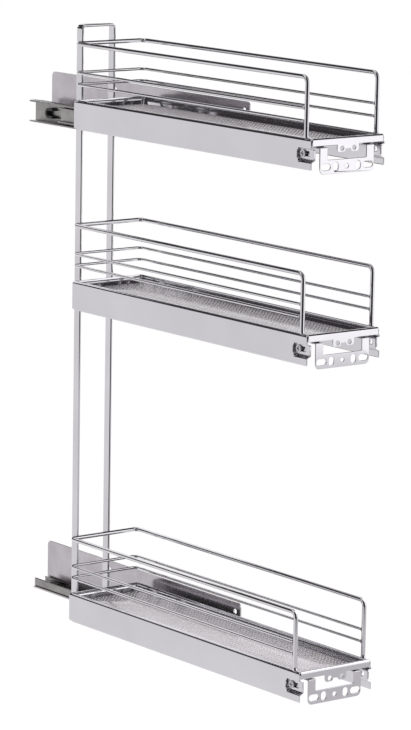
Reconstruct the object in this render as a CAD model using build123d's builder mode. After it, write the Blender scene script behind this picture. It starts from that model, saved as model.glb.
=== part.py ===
# Pull-out organizer for a narrow base cabinet: three chromed sheet trays with wire
# guard rails hang on an upright flat bar frame, which runs out of the cabinet on two
# ball slides. The slides are carried by an upper and a lower bracket that are screwed
# to one side wall of the cabinet. It is modelled partly pulled out.
#
# Millimetres. +Z is up, -Y is the way the unit comes out, +X points into the wall.
# The origin is the middle of the lower bracket's screw line, on the wall's face.

import os

from build123d import *

os.makedirs("parts", exist_ok=True)

# Driving dimensions: cabinet wall, brackets and travel
hole_spacing = 256.0
screw_hole_radius = 3.2
plate_front_margin = 10.0
plate_length = 400.0
plate_sheet = 2.0
plate_corner_radius = 6.0
first_hole_setback = 37.0
middle_travel_shown = 15.0
drawer_travel_shown = 215.0

# Driving dimensions: trays
tray_width = 104.0
tray_length = 448.0
wall_gap = 13.0
skirt_height = 34.6
skirt_corner_radius = 5.5
tray_corner_radius = 2.0
tray_sheet = 1.0
bead_width = 2.4
bead_round = 0.9
ledge_depth = 2.5
step_inset = 5.0
step_depth = 5.0
floor_inset = 8.0
floor_depth = 9.5
pan_corner_radius = 4.0
middle_tray_rise = 382.5
top_tray_rise = 599.0
hole_line_below_bottom_rim = 1.6
hole_line_below_top_rim = 0.6
mat_thickness = 0.8
mat_margin = 0.3

# Driving dimensions: wires
guard_radius = 2.6
guard_rise = 66.6
guard_bend = 7.0
post_setback = 12.2
wire_side_inset = 2.4
wire_radius = 1.75
wire_rises = {"low": 18.3, "mid": 32.4}
wire_bend = 7.0
weld_gap = 0.05

# Driving dimensions: upright frame and the channels that hold the trays on it
frame_bar_width = 12.0
frame_bar_sheet = 3.0
frame_near_inset = 13.0
frame_outer_width = 49.5
frame_top_above_rim = 88.0
frame_bottom_below_rim = 42.4
frame_bend = 5.5
hanger_sheet = 1.5
hanger_height = 22.0
hanger_top_below_rim = 11.5
hanger_screw_spacing = 12.0
fit_gap = 0.05

# Driving dimensions: tray fronts
front_rail_height = 8.3
front_rail_sheet = 1.5
tab_width = 30.5
tab_bottom = 16.6
tab_notch_width = 7.0
tab_notch_top = 13.2
tab_corner_radius = 3.0
tab_hole_radius = 2.75
tab_hole_spacing = 17.0
tab_hole_drop = 12.5
door_plate_width = 77.0
door_plate_bottom = 40.3
door_window_width = 55.0
door_window_bottom = 24.5
door_plate_sheet = 1.5
door_plate_radius = 6.0
door_window_radius = 1.5
door_foot_length = 12.0
door_hole_drop = 32.4
door_slot_spacing = 60.0
door_slot_length = 13.5
door_slot_width = 7.0
door_oval_spacing = 31.4
door_oval_length = 10.0
door_pilot_radius = 2.5

# Driving dimensions: clamp pockets in the front ends of the skirts
pocket_length = 25.0
pocket_top = 11.2
pocket_bottom = 26.4
pocket_depth = 5.0
pocket_slope = 2.6
pocket_radius = 3.0
tongue_sheet = 1.6
tongue_clearance = 0.75
tongue_reach = 0.4
tongue_round = 2.0
clamp_slot_front = 5.3
clamp_slot_width = 5.6
clamp_screw_setback = 17.5
clamp_screw_drop = 17.2
clamp_head_radius = 4.3
clamp_head_height = 1.8
clamp_shank_radius = 2.5
clamp_screw_tail = 2.4
recess_width = 1.2

# Driving dimensions: slides, one set of values for each section
middle_rail_length = 360.0
drawer_rail_length = 250.0
upper_rail_overhang = 9.0
buffer_setback = 20.0
buffer_length = 15.0
buffer_wall = 3.2
buffer_height = 6.0
outer_cage_length = 150.0
outer_cage_setback = 105.0
inner_cage_length = 120.0
inner_cage_setback = 115.0
balls_per_row = 4
cage_end_margin = 12.0
cage_sheet = 0.5
race_clearance = 0.15
slide_depth = 10.5
drawer_web_proud = 0.5
rail_sheet = 1.2
rail_bend = 1.0
middle_web_start = 2.8
middle_flange_end = 9.0
drawer_flange_start = 5.1
ball_depth = 6.3
outer_cage_web_start = 1.95
inner_cage_web_start = 4.25
upper_section = {
    "half": 13.5, "flange": 1.6, "lip": 2.0, "middle": (7.5, 9.3), "drawer": (3.9, 5.3),
    "outer_ball": 1.5, "outer_ball_offset": 10.6, "inner_ball": 1.2, "inner_ball_offset": 6.4,
    "buffer": 6.4,
}
lower_section = {
    "half": 8.5, "flange": 1.1, "lip": 1.5, "middle": (4.6, 5.8), "drawer": (2.5, 3.5),
    "outer_ball": 1.0, "outer_ball_offset": 6.6, "inner_ball": 0.75, "inner_ball_offset": 4.05,
    "buffer": 4.4,
}

# Driving dimensions: how the brackets hold the slides
upper_plate_above_rim = 9.9
upper_slide_top_below_rim = 25.2
upper_lip_gap = 3.0
lower_plate_above_rim = 9.7
lower_slide_offset = 0.8
lower_flange_margin = 2.0
bracket_bend = 2.5
slide_clearance = 2.0

# Driving dimensions: angles between the drawer rails and the trays, and rivets
angle_sheet = 1.5
angle_end_margin = 7.5
upper_angle_foot = 25.0
lower_angle_height = 18.0
rivet_radius = 1.6
rivet_head_radius = 2.4
rivet_head_height = 0.8
flat_head_height = 0.5
rivet_crown = 0.65
slide_rivet_margin = 50.0
slide_rivet_count = 4
angle_rivet_margin = 25.0
angle_rivet_count = 3
hanger_screw_radius = 2.0
hanger_head_radius = 3.6
hanger_head_height = 2.2
hanger_screw_tail = 3.5

# Places worked out from the driving dimensions
tray_far = -wall_gap
tray_near = tray_far - tray_width
tray_middle = (tray_far + tray_near) / 2
rest_travel = middle_travel_shown + drawer_travel_shown
tray_front = -(first_hole_setback + hole_spacing / 2 + rest_travel)
tray_rear = tray_front + tray_length
rims = {"bottom": hole_line_below_bottom_rim}
rims["middle"] = rims["bottom"] + middle_tray_rise
rims["top"] = rims["bottom"] + top_tray_rise
plate_front = -hole_spacing / 2 - plate_front_margin
plate_rear = plate_front + plate_length
closed_stop = plate_rear - buffer_setback - buffer_length
middle_rail_rear = closed_stop - middle_travel_shown
drawer_rail_rear = middle_rail_rear - drawer_travel_shown
drawer_rail_front = drawer_rail_rear - drawer_rail_length
frame_front = tray_rear + hanger_sheet
frame_near = tray_near + frame_near_inset
frame_far = frame_near + frame_outer_width
frame_middle_x = (frame_near + frame_far) / 2
frame_middle_y = frame_front + frame_bar_width / 2
frame_top = rims["top"] + frame_top_above_rim
frame_bottom = rims["bottom"] - frame_bottom_below_rim

# The upper slide stands on edge with its back to the bracket's turned-up lip
lip_far = tray_far - tray_sheet - upper_lip_gap
upper_back = lip_far - plate_sheet
upper_middle_z = rims["top"] - upper_slide_top_below_rim - upper_section["half"]
upper_rail_bottom = upper_middle_z - upper_section["half"]
upper_plane = Plane(
    origin=(upper_back, 0, upper_middle_z), x_dir=(0, 0, 1), z_dir=(0, -1, 0)
)

# The lower slide lies flat on the bracket's foot, below the far skirt
drawer_face_depth = slide_depth + drawer_web_proud
lower_angle_top = rims["bottom"] - skirt_height
lower_back = lower_angle_top - angle_sheet - drawer_face_depth
lower_middle_x = tray_far - tray_sheet + lower_slide_offset
lower_plane = Plane(
    origin=(lower_middle_x, 0, lower_back), x_dir=(1, 0, 0), z_dir=(0, -1, 0)
)


def evenly(first, last, count):
    """Places from first to last with equal steps."""
    return [first + (last - first) * step / (count - 1) for step in range(count)]


def save(piece, name):
    """Label the finished piece and write it to its own file."""
    piece.part.label = name
    export_step(piece.part, f"parts/{name}.step")


def bend_sheet(sketch, corners, radius):
    """Round the sketch corners that lie at the given points."""
    if not corners:
        return
    picked = [
        vertex
        for vertex in sketch.vertices()
        for x, y in corners
        if abs(vertex.X - x) < 1e-4 and abs(vertex.Y - y) < 1e-4
    ]
    fillet(picked, radius)


def head_profile(radius, height, base, direction):
    """Points of a cone rivet head that stands on base and grows along direction."""
    top = base + direction * height
    return [(radius, base), (radius * rivet_crown, top), (0, top)]


def add_rivet(plane, start, end, start_head, end_head):
    """One rivet turned about the plane's y axis, with a head of the given height at each end."""
    points = [(0, start)]
    if start_head:
        points = head_profile(rivet_head_radius, start_head, start, -1)[::-1]
    points.append((rivet_radius, start))
    points.append((rivet_radius, end))
    if end_head:
        points += head_profile(rivet_head_radius, end_head, end, 1)
    else:
        points.append((0, end))
    profile = Face(Wire.make_polygon([plane.from_local_coords(point) for point in points]))
    revolve(profile, axis=Axis(plane.origin, plane.y_dir))


# Slide rails: each is a folded section drawn in the slide's own plane, where x runs across
# the slide and y runs from its back to its open side
def make_rail(plane, rear, length, half_profile, bend_corners, races, hole_depth, hole_places):
    """Rail with ball races, and rivet holes through the web whose outer face is at hole_depth."""
    with BuildPart() as rail:
        with BuildSketch(plane.offset(-rear)) as section:
            Polygon(*half_profile)
            mirror(about=Plane.YZ)
            both_sides = bend_corners + [(-x, y) for x, y in bend_corners]
            bend_sheet(section, both_sides, rail_bend)
            for offset, ball_radius in races:
                with Locations((offset, ball_depth), (-offset, ball_depth)):
                    Circle(ball_radius + race_clearance, mode=Mode.SUBTRACT)
        extrude(amount=length)
        for place in hole_places:
            row = plane.offset(-place)
            through = Plane(
                origin=row.from_local_coords((0, hole_depth)), x_dir=row.x_dir, z_dir=row.y_dir
            )
            with BuildSketch(through):
                Circle(rivet_radius + fit_gap)
            extrude(amount=rail_sheet * 1.5, both=True, mode=Mode.SUBTRACT)
    return rail


def cabinet_profile(size):
    half, inner = size["half"], size["half"] - size["flange"]
    lip = half - size["lip"]
    return [
        (0, 0), (half, 0), (half, slide_depth), (lip, slide_depth),
        (lip, slide_depth - rail_sheet), (inner, slide_depth - rail_sheet),
        (inner, rail_sheet), (0, rail_sheet),
    ]


def middle_profile(size):
    inner, outer = size["middle"]
    web_end = middle_web_start + rail_sheet
    return [
        (0, middle_web_start), (outer, middle_web_start), (outer, middle_flange_end),
        (inner, middle_flange_end), (inner, web_end), (0, web_end),
    ]


def drawer_profile(size):
    inner, outer = size["drawer"]
    web_start = drawer_face_depth - rail_sheet
    return [
        (0, drawer_face_depth), (outer, drawer_face_depth), (outer, drawer_flange_start),
        (inner, drawer_flange_start), (inner, web_start), (0, web_start),
    ]


def ball_places(rear, length):
    return evenly(rear - cage_end_margin, rear - length + cage_end_margin, balls_per_row)


def make_cage(plane, rear, length, offset, ball_radius, web_start):
    """Bent strip that keeps two rows of balls apart, with a round window for each ball."""
    outer = offset + cage_sheet / 2
    inner = offset - cage_sheet / 2
    top = ball_depth + ball_radius + cage_sheet
    web_end = web_start + cage_sheet
    window = ball_radius + race_clearance
    with BuildPart() as cage:
        with BuildSketch(plane.offset(-rear)):
            Polygon(
                (0, web_start), (outer, web_start), (outer, top),
                (inner, top), (inner, web_end), (0, web_end),
            )
            mirror(about=Plane.YZ)
        extrude(amount=length)
        for place in ball_places(rear, length):
            row = plane.offset(-place)
            across = Plane(
                origin=row.from_local_coords((0, ball_depth)), x_dir=row.z_dir, z_dir=row.x_dir
            )
            with BuildSketch(across):
                Circle(window)
            extrude(amount=2 * outer, both=True, mode=Mode.SUBTRACT)
    return cage


def make_balls(plane, rear, length, offset, ball_radius):
    with BuildPart() as balls:
        for place in ball_places(rear, length):
            row = plane.offset(-place)
            centres = [row.from_local_coords((side * offset, ball_depth)) for side in (-1, 1)]
            with Locations(*centres):
                Sphere(ball_radius)
    return balls


def make_buffer(plane, size):
    """Plastic C on the cabinet rail's web, open to the front, that stops the middle rail."""
    outer = size["buffer"]
    arm_length = buffer_length - outer
    front = plane.offset(-closed_stop)
    web = Plane(
        origin=front.from_local_coords((0, rail_sheet + fit_gap)), x_dir=front.x_dir,
        z_dir=front.y_dir,
    )
    with BuildPart() as stop:
        with BuildSketch(web):
            for radius, mode in ((outer, Mode.ADD), (outer - buffer_wall, Mode.SUBTRACT)):
                with Locations((0, arm_length)):
                    Circle(radius, mode=mode)
                with Locations((0, arm_length / 2)):
                    Rectangle(2 * radius, arm_length, mode=mode)
        extrude(amount=buffer_height)
    return stop


slides = {
    "upper": (upper_plane, upper_section, plate_rear + upper_rail_overhang),
    "lower": (lower_plane, lower_section, plate_rear),
}
slide_rivet_places = evenly(
    plate_front + slide_rivet_margin, plate_rear - slide_rivet_margin, slide_rivet_count
)
angle_rear = drawer_rail_rear - angle_end_margin
angle_front = drawer_rail_front + angle_end_margin
angle_length = angle_rear - angle_front
angle_rivet_places = evenly(
    angle_front + angle_rivet_margin, angle_rear - angle_rivet_margin, angle_rivet_count
)

for level, (plane, size, rail_rear) in slides.items():
    outer_ball = (size["outer_ball_offset"], size["outer_ball"])
    inner_ball = (size["inner_ball_offset"], size["inner_ball"])

    # Rail that is riveted to the bracket
    cabinet_rail = make_rail(
        plane, rail_rear, plate_length, cabinet_profile(size),
        [(size["half"], 0), (size["half"], slide_depth)], [outer_ball],
        0, slide_rivet_places,
    )
    save(cabinet_rail, f"{level}_cabinet_rail")

    # Rail that rolls between the other two
    middle_rail = make_rail(
        plane, middle_rail_rear, middle_rail_length, middle_profile(size),
        [(size["middle"][1], middle_web_start)], [outer_ball, inner_ball], 0, [],
    )
    save(middle_rail, f"{level}_middle_rail")

    # Rail that carries the trays
    drawer_rail = make_rail(
        plane, drawer_rail_rear, drawer_rail_length, drawer_profile(size),
        [], [inner_ball], drawer_face_depth, angle_rivet_places,
    )
    save(drawer_rail, f"{level}_drawer_rail")

    # Ball cages, which roll half as far as the rail that they carry
    outer_rear = closed_stop - outer_cage_setback - middle_travel_shown / 2
    inner_rear = middle_rail_rear - inner_cage_setback - drawer_travel_shown / 2
    cages = {
        "outer": (outer_rear, outer_cage_length, outer_ball, outer_cage_web_start),
        "inner": (inner_rear, inner_cage_length, inner_ball, inner_cage_web_start),
    }
    for ring, (rear, length, ball, web_start) in cages.items():
        cage = make_cage(plane, rear, length, *ball, web_start)
        save(cage, f"{level}_{ring}_ball_cage")
        balls = make_balls(plane, rear, length, *ball)
        save(balls, f"{level}_{ring}_balls")

    # Stop for the closed position
    save(make_buffer(plane, size), f"{level}_rear_buffer")

# Upper wall bracket: a folded plate whose turned-up lip reaches in behind the far skirt
upper_plate_top = rims["top"] + upper_plate_above_rim
upper_hole_z = rims["top"] - hole_line_below_top_rim
with BuildPart() as upper_wall_bracket:
    lip_top = upper_middle_z + upper_section["half"]
    foot_bottom = upper_rail_bottom - plate_sheet
    with BuildSketch(Plane.XZ.offset(-plate_rear)) as section:
        Polygon(
            (0, upper_plate_top), (-plate_sheet, upper_plate_top),
            (-plate_sheet, upper_rail_bottom), (lip_far, upper_rail_bottom),
            (lip_far, lip_top), (upper_back, lip_top), (upper_back, foot_bottom),
            (0, foot_bottom),
        )
        bend_sheet(section, [(upper_back, foot_bottom), (0, foot_bottom)], bracket_bend)
        inner_bends = [(-plate_sheet, upper_rail_bottom), (lip_far, upper_rail_bottom)]
        bend_sheet(section, inner_bends, bracket_bend - plate_sheet)
    extrude(amount=plate_length)
    top_corners = upper_wall_bracket.edges().filter_by(Axis.X).group_by(Axis.Z)[-1]
    fillet(top_corners, plate_corner_radius)
    with BuildSketch(Plane.YZ):
        with Locations((-hole_spacing / 2, upper_hole_z), (hole_spacing / 2, upper_hole_z)):
            Circle(screw_hole_radius)
    extrude(amount=-plate_sheet, mode=Mode.SUBTRACT)
    with BuildSketch(Plane.YZ.offset(upper_back)):
        with Locations(*[(place, upper_middle_z) for place in slide_rivet_places]):
            Circle(rivet_radius + fit_gap)
    extrude(amount=plate_sheet, mode=Mode.SUBTRACT)
save(upper_wall_bracket, "upper_wall_bracket")

# Lower wall bracket: a folded plate whose foot lies under the flat slide
lower_plate_top = rims["bottom"] + lower_plate_above_rim
with BuildPart() as lower_wall_bracket:
    foot_near = lower_middle_x - lower_section["half"] - lower_flange_margin
    foot_bottom = lower_back - plate_sheet
    with BuildSketch(Plane.XZ.offset(-plate_rear)) as section:
        Polygon(
            (0, lower_plate_top), (-plate_sheet, lower_plate_top),
            (-plate_sheet, lower_back), (foot_near, lower_back),
            (foot_near, foot_bottom), (0, foot_bottom),
        )
        bend_sheet(section, [(0, foot_bottom)], bracket_bend)
        bend_sheet(section, [(-plate_sheet, lower_back)], bracket_bend - plate_sheet)
    extrude(amount=plate_length)
    top_corners = lower_wall_bracket.edges().filter_by(Axis.X).group_by(Axis.Z)[-1]
    fillet(top_corners, plate_corner_radius)
    with BuildSketch(Plane.YZ):
        with Locations((-hole_spacing / 2, 0), (hole_spacing / 2, 0)):
            Circle(screw_hole_radius)
    extrude(amount=-plate_sheet, mode=Mode.SUBTRACT)
    with BuildSketch(Plane.XY.offset(lower_back)):
        with Locations(*[(lower_middle_x, place) for place in slide_rivet_places]):
            Circle(rivet_radius + fit_gap)
    extrude(amount=-plate_sheet, mode=Mode.SUBTRACT)
save(lower_wall_bracket, "lower_wall_bracket")

# Rivets between the brackets and the cabinet rails
for level, (plane, size, rail_rear) in slides.items():
    with BuildPart() as slide_rivets:
        for place in slide_rivet_places:
            add_rivet(
                plane.offset(-place), -plate_sheet, rail_sheet,
                rivet_head_height, flat_head_height,
            )
    save(slide_rivets, f"{level}_slide_rivets")

# Angle that carries the top tray on the upper drawer rail
upper_face = upper_back - drawer_face_depth
top_floor_underside = rims["top"] - floor_depth - tray_sheet
with BuildPart() as upper_carriage_angle:
    leg_bottom = upper_middle_z - upper_section["drawer"][1]
    foot_near = upper_face - upper_angle_foot
    leg_near = upper_face - angle_sheet
    foot_bottom = top_floor_underside - angle_sheet
    with BuildSketch(Plane.XZ.offset(-angle_rear)) as section:
        Polygon(
            (upper_face, leg_bottom), (upper_face, top_floor_underside),
            (foot_near, top_floor_underside), (foot_near, foot_bottom),
            (leg_near, foot_bottom), (leg_near, leg_bottom),
        )
        bend_sheet(section, [(upper_face, top_floor_underside)], angle_sheet)
    extrude(amount=angle_length)
    with BuildSketch(Plane.YZ.offset(leg_near)):
        with Locations(*[(place, upper_middle_z) for place in angle_rivet_places]):
            Circle(rivet_radius + fit_gap)
    extrude(amount=angle_sheet, mode=Mode.SUBTRACT)
    foot_rivet_x = (foot_near + leg_near) / 2
    with BuildSketch(Plane.XY.offset(foot_bottom)):
        with Locations(*[(foot_rivet_x, place) for place in angle_rivet_places]):
            Circle(rivet_radius + fit_gap)
    extrude(amount=angle_sheet, mode=Mode.SUBTRACT)
save(upper_carriage_angle, "upper_carriage_angle")

# Angle that carries the bottom tray on the lower drawer rail
lower_face = lower_back + drawer_face_depth
skirt_inside = tray_far - tray_sheet
with BuildPart() as lower_carriage_angle:
    leg_near = skirt_inside - angle_sheet
    foot_far = lower_middle_x + lower_section["drawer"][1]
    leg_top = lower_angle_top + lower_angle_height
    with BuildSketch(Plane.XZ.offset(-angle_rear)) as section:
        Polygon(
            (leg_near, leg_top), (skirt_inside, leg_top), (skirt_inside, lower_angle_top),
            (foot_far, lower_angle_top), (foot_far, lower_face), (leg_near, lower_face),
        )
        bend_sheet(section, [(leg_near, lower_face)], angle_sheet)
    extrude(amount=angle_length)
    skirt_rivet_z = leg_top - 2 * rivet_head_radius
    with BuildSketch(Plane.YZ.offset(leg_near)):
        with Locations(*[(place, skirt_rivet_z) for place in angle_rivet_places]):
            Circle(rivet_radius + fit_gap)
    extrude(amount=angle_sheet, mode=Mode.SUBTRACT)
    with BuildSketch(Plane.XY.offset(lower_face)):
        with Locations(*[(lower_middle_x, place) for place in angle_rivet_places]):
            Circle(rivet_radius + fit_gap)
    extrude(amount=angle_sheet, mode=Mode.SUBTRACT)
save(lower_carriage_angle, "lower_carriage_angle")

# Rivets of the two angles, flush where a skirt or a mat lies on them
with BuildPart() as upper_carriage_rivets:
    for place in angle_rivet_places:
        add_rivet(
            upper_plane.offset(-place), drawer_face_depth - rail_sheet,
            drawer_face_depth + angle_sheet, flat_head_height, rivet_head_height,
        )
        upright = Plane(
            origin=(foot_rivet_x, place, top_floor_underside), x_dir=(1, 0, 0),
            z_dir=(0, -1, 0),
        )
        add_rivet(upright, -angle_sheet, tray_sheet, rivet_head_height, 0)
save(upper_carriage_rivets, "upper_carriage_rivets")

with BuildPart() as lower_carriage_rivets:
    for place in angle_rivet_places:
        add_rivet(
            lower_plane.offset(-place), drawer_face_depth - rail_sheet,
            drawer_face_depth + angle_sheet, flat_head_height, 0,
        )
        sideways = Plane(
            origin=(skirt_inside, place, skirt_rivet_z), x_dir=(0, 0, 1), z_dir=(0, 1, 0)
        )
        add_rivet(sideways, -angle_sheet, tray_sheet, rivet_head_height, rivet_head_height)
save(lower_carriage_rivets, "lower_carriage_rivets")

# Upright frame: one loop of flat bar behind the trays
hanger_screw_drops = [
    hanger_top_below_rim + (hanger_height + side * hanger_screw_spacing) / 2
    for side in (-1, 1)
]
hanger_screw_heights = [rim - drop for rim in rims.values() for drop in hanger_screw_drops]
with BuildPart() as rear_frame:
    frame_height = frame_top - frame_bottom
    frame_middle_z = (frame_top + frame_bottom) / 2
    with BuildSketch(Plane.XZ.offset(-(frame_front + frame_bar_width))):
        with Locations((frame_middle_x, frame_middle_z)):
            RectangleRounded(frame_outer_width, frame_height, frame_bend)
            RectangleRounded(
                frame_outer_width - 2 * frame_bar_sheet, frame_height - 2 * frame_bar_sheet,
                frame_bend - frame_bar_sheet, mode=Mode.SUBTRACT,
            )
    extrude(amount=frame_bar_width)
    with BuildSketch(Plane.YZ.offset(frame_near)):
        with Locations(*[(frame_middle_y, height) for height in hanger_screw_heights]):
            Circle(hanger_screw_radius + fit_gap)
    extrude(amount=frame_outer_width, mode=Mode.SUBTRACT)
save(rear_frame, "rear_frame")

# Screws that pass through the legs into the tray channels
with BuildPart() as hanger_screws:
    reach = frame_bar_sheet + fit_gap + hanger_sheet + hanger_screw_tail
    for height in hanger_screw_heights:
        for edge, direction in ((frame_near, 1), (frame_far, -1)):
            leg = Plane(
                origin=(edge, frame_middle_y, height), x_dir=(0, 1, 0), z_dir=(direction, 0, 0)
            )
            with BuildSketch(leg):
                Circle(hanger_screw_radius)
            extrude(amount=reach)
            with BuildSketch(leg):
                Circle(hanger_head_radius)
            extrude(amount=-hanger_head_height)
            with BuildSketch(leg.offset(-hanger_head_height)):
                RegularPolygon(hanger_head_radius * 0.5, 6)
            extrude(amount=hanger_head_height * 0.6, mode=Mode.SUBTRACT)
save(hanger_screws, "hanger_screws")

hanger_rivet_offset = frame_outer_width / 4
foot_offset = (door_window_width + door_plate_width) / 4
door_foot_top = floor_depth + tray_sheet
door_front = tray_front + front_rail_sheet
door_rivet_y = door_front + door_plate_sheet + door_foot_length / 2 + bead_width


def tray_footprint(inset, radius):
    """Rectangle with the given inset from the tray's outline, round at its corners."""
    with Locations((tray_middle, (tray_front + tray_rear) / 2)):
        RectangleRounded(tray_width - 2 * inset, tray_length - 2 * inset, radius)


def clamp_slot(rim):
    """Slot for the clamp screw, cut in the sketch of a skirt's or a tongue's face."""
    front = tray_front + clamp_slot_front + clamp_slot_width / 2
    rear = tray_front + clamp_screw_setback
    with Locations(((front + rear) / 2, rim - clamp_screw_drop)):
        SlotCenterToCenter(rear - front, clamp_slot_width)


def make_tray_shell(level):
    rim = rims[level]
    skirt_bottom = rim - skirt_height
    middle_y = (tray_front + tray_rear) / 2
    with BuildPart() as shell:
        # Block with round upright edges at the rear
        with BuildSketch(Plane.XY.offset(skirt_bottom)) as outline:
            with Locations((tray_middle, middle_y)):
                Rectangle(tray_width, tray_length)
            rear_corners = [(tray_near, tray_rear), (tray_far, tray_rear)]
            bend_sheet(outline, rear_corners, tray_corner_radius)
        extrude(amount=skirt_height)
        # Round lower rear corners on the skirts
        with BuildSketch(Plane.YZ.offset(tray_near)):
            with Locations((tray_rear, skirt_bottom)):
                Rectangle(2 * skirt_corner_radius, 2 * skirt_corner_radius)
            with Locations((tray_rear - skirt_corner_radius, skirt_bottom + skirt_corner_radius)):
                Circle(skirt_corner_radius, mode=Mode.SUBTRACT)
        extrude(amount=tray_width, mode=Mode.SUBTRACT)
        # Open underside and front between the skirts
        with BuildSketch(Plane.XY.offset(skirt_bottom)):
            with Locations((tray_middle, middle_y - tray_sheet)):
                Rectangle(tray_width - 2 * tray_sheet, tray_length)
        extrude(amount=skirt_height - ledge_depth - tray_sheet, mode=Mode.SUBTRACT)
        # Two steps of the pan, seen from below
        for inset, depth in ((step_inset, step_depth), (floor_inset, floor_depth)):
            with BuildSketch(Plane.XY.offset(rim - depth - tray_sheet)):
                tray_footprint(inset - tray_sheet, pan_corner_radius)
            extrude(amount=depth - ledge_depth)
        # Pan with a ledge, a step and a floor, seen from above
        pan = ((bead_width, ledge_depth), (step_inset, step_depth), (floor_inset, floor_depth))
        for inset, depth in pan:
            with BuildSketch(Plane.XY.offset(rim - depth)):
                tray_footprint(inset, pan_corner_radius - tray_sheet)
            extrude(amount=depth, mode=Mode.SUBTRACT)
        # Rolled edge round the rim
        fillet(shell.edges().group_by(Axis.Z)[-1], bead_round)
        # Clamp pockets at the front ends of both skirts, with a sloped lower side
        pocket_wall = pocket_depth + tray_sheet
        pocket_height = pocket_bottom - pocket_top
        pocket_z = rim - (pocket_top + pocket_bottom) / 2
        seat_height = pocket_height - pocket_slope
        seat_bottom = rim - pocket_bottom + pocket_slope
        for edge, direction in ((tray_near, 1), (tray_far, -1)):
            outside = Plane(origin=(edge, 0, 0), x_dir=(0, 1, 0), z_dir=(1, 0, 0))
            with BuildSketch(outside):
                with Locations((tray_front + (pocket_length + tray_sheet) / 2, pocket_z)):
                    Rectangle(pocket_length + tray_sheet, pocket_height + 2 * tray_sheet)
            extrude(amount=direction * pocket_wall)
        for edge, direction in ((tray_near, 1), (tray_far, -1)):
            outside = Plane(origin=(edge, 0, 0), x_dir=(0, 1, 0), z_dir=(1, 0, 0))
            with BuildSketch(outside) as recess:
                with Locations((tray_front, seat_bottom + seat_height / 2)):
                    Rectangle(2 * pocket_length, seat_height)
                rear_corners = [
                    (tray_front + pocket_length, seat_bottom + lift)
                    for lift in (0, seat_height)
                ]
                bend_sheet(recess, rear_corners, pocket_radius)
            extrude(amount=direction * pocket_depth, mode=Mode.SUBTRACT)
            slope_length = pocket_length - pocket_radius
            with BuildSketch(Plane.XZ.offset(-(tray_front + slope_length))):
                Polygon(
                    (edge, seat_bottom), (edge, seat_bottom - pocket_slope),
                    (edge + direction * pocket_depth, seat_bottom),
                )
            extrude(amount=slope_length, mode=Mode.SUBTRACT)
            with BuildSketch(outside):
                clamp_slot(rim)
            extrude(amount=direction * pocket_wall, mode=Mode.SUBTRACT)
        # Seat of the front rail
        with BuildSketch(Plane.XY.offset(rim - ledge_depth - tray_sheet)):
            with Locations((tray_middle, tray_front)):
                Rectangle(tray_width - 2 * tray_sheet, 2 * front_rail_sheet)
        extrude(amount=ledge_depth + tray_sheet, mode=Mode.SUBTRACT)
        # Opening in the rear wall that the upper slide runs through
        notch_near = upper_back - slide_depth - slide_clearance
        notch_far = lip_far + slide_clearance
        notch_top = rim - upper_slide_top_below_rim + slide_clearance
        with BuildSketch(Plane.XZ.offset(-tray_rear)):
            with Locations(((notch_near + notch_far) / 2, (notch_top + skirt_bottom) / 2)):
                Rectangle(notch_far - notch_near, notch_top - skirt_bottom)
        extrude(amount=skirt_corner_radius, mode=Mode.SUBTRACT)
        # Rivet holes for the channel, the door bracket and the top tray's angle
        channel_z = rim - hanger_top_below_rim - hanger_height / 2
        with BuildSketch(Plane.XZ.offset(-tray_rear)):
            with Locations(
                (frame_middle_x - hanger_rivet_offset, channel_z),
                (frame_middle_x + hanger_rivet_offset, channel_z),
            ):
                Circle(rivet_radius + fit_gap)
        extrude(amount=skirt_corner_radius, mode=Mode.SUBTRACT)
        floor_holes = [
            (tray_middle - foot_offset, door_rivet_y),
            (tray_middle + foot_offset, door_rivet_y),
        ]
        if level == "top":
            floor_holes += [(foot_rivet_x, place) for place in angle_rivet_places]
        with BuildSketch(Plane.XY.offset(rim - floor_depth)):
            with Locations(*floor_holes):
                Circle(rivet_radius + fit_gap)
        extrude(amount=-tray_sheet, mode=Mode.SUBTRACT)
        if level == "bottom":
            with BuildSketch(Plane.YZ.offset(tray_far)):
                with Locations(*[(place, skirt_rivet_z) for place in angle_rivet_places]):
                    Circle(rivet_radius + fit_gap)
            extrude(amount=-tray_sheet, mode=Mode.SUBTRACT)
    return shell


def make_mat(rim):
    with BuildPart() as mat:
        with BuildSketch(Plane.XY.offset(rim - floor_depth)):
            tray_footprint(floor_inset + mat_margin, pan_corner_radius - tray_sheet)
        extrude(amount=mat_thickness)
    return mat


def make_front_rail(rim):
    """Strip between the skirts with a two-lobed tab for the door adjusting screws."""
    with BuildPart() as front_rail:
        with BuildSketch(Plane.XZ.offset(-door_front)) as face:
            with Locations((tray_middle, rim - front_rail_height / 2)):
                Rectangle(tray_width - 2 * tray_sheet, front_rail_height)
            with Locations((tray_middle, rim - tab_bottom / 2)):
                Rectangle(tab_width, tab_bottom)
            notch_height = tab_bottom - tab_notch_top
            with Locations((tray_middle, rim - tab_bottom + notch_height / 2)):
                Rectangle(tab_notch_width, notch_height, mode=Mode.SUBTRACT)
            outer_corners = [
                (tray_middle + side * tab_width / 2, rim - tab_bottom) for side in (-1, 1)
            ]
            inner_corners = [
                (tray_middle + side * tab_notch_width / 2, rim - tab_bottom)
                for side in (-1, 1)
            ]
            bend_sheet(face, outer_corners + inner_corners, tab_corner_radius)
            with Locations((tray_middle, rim - tab_hole_drop)):
                with GridLocations(tab_hole_spacing, 0, 2, 1):
                    Circle(tab_hole_radius, mode=Mode.SUBTRACT)
        extrude(amount=front_rail_sheet)
    return front_rail


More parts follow.
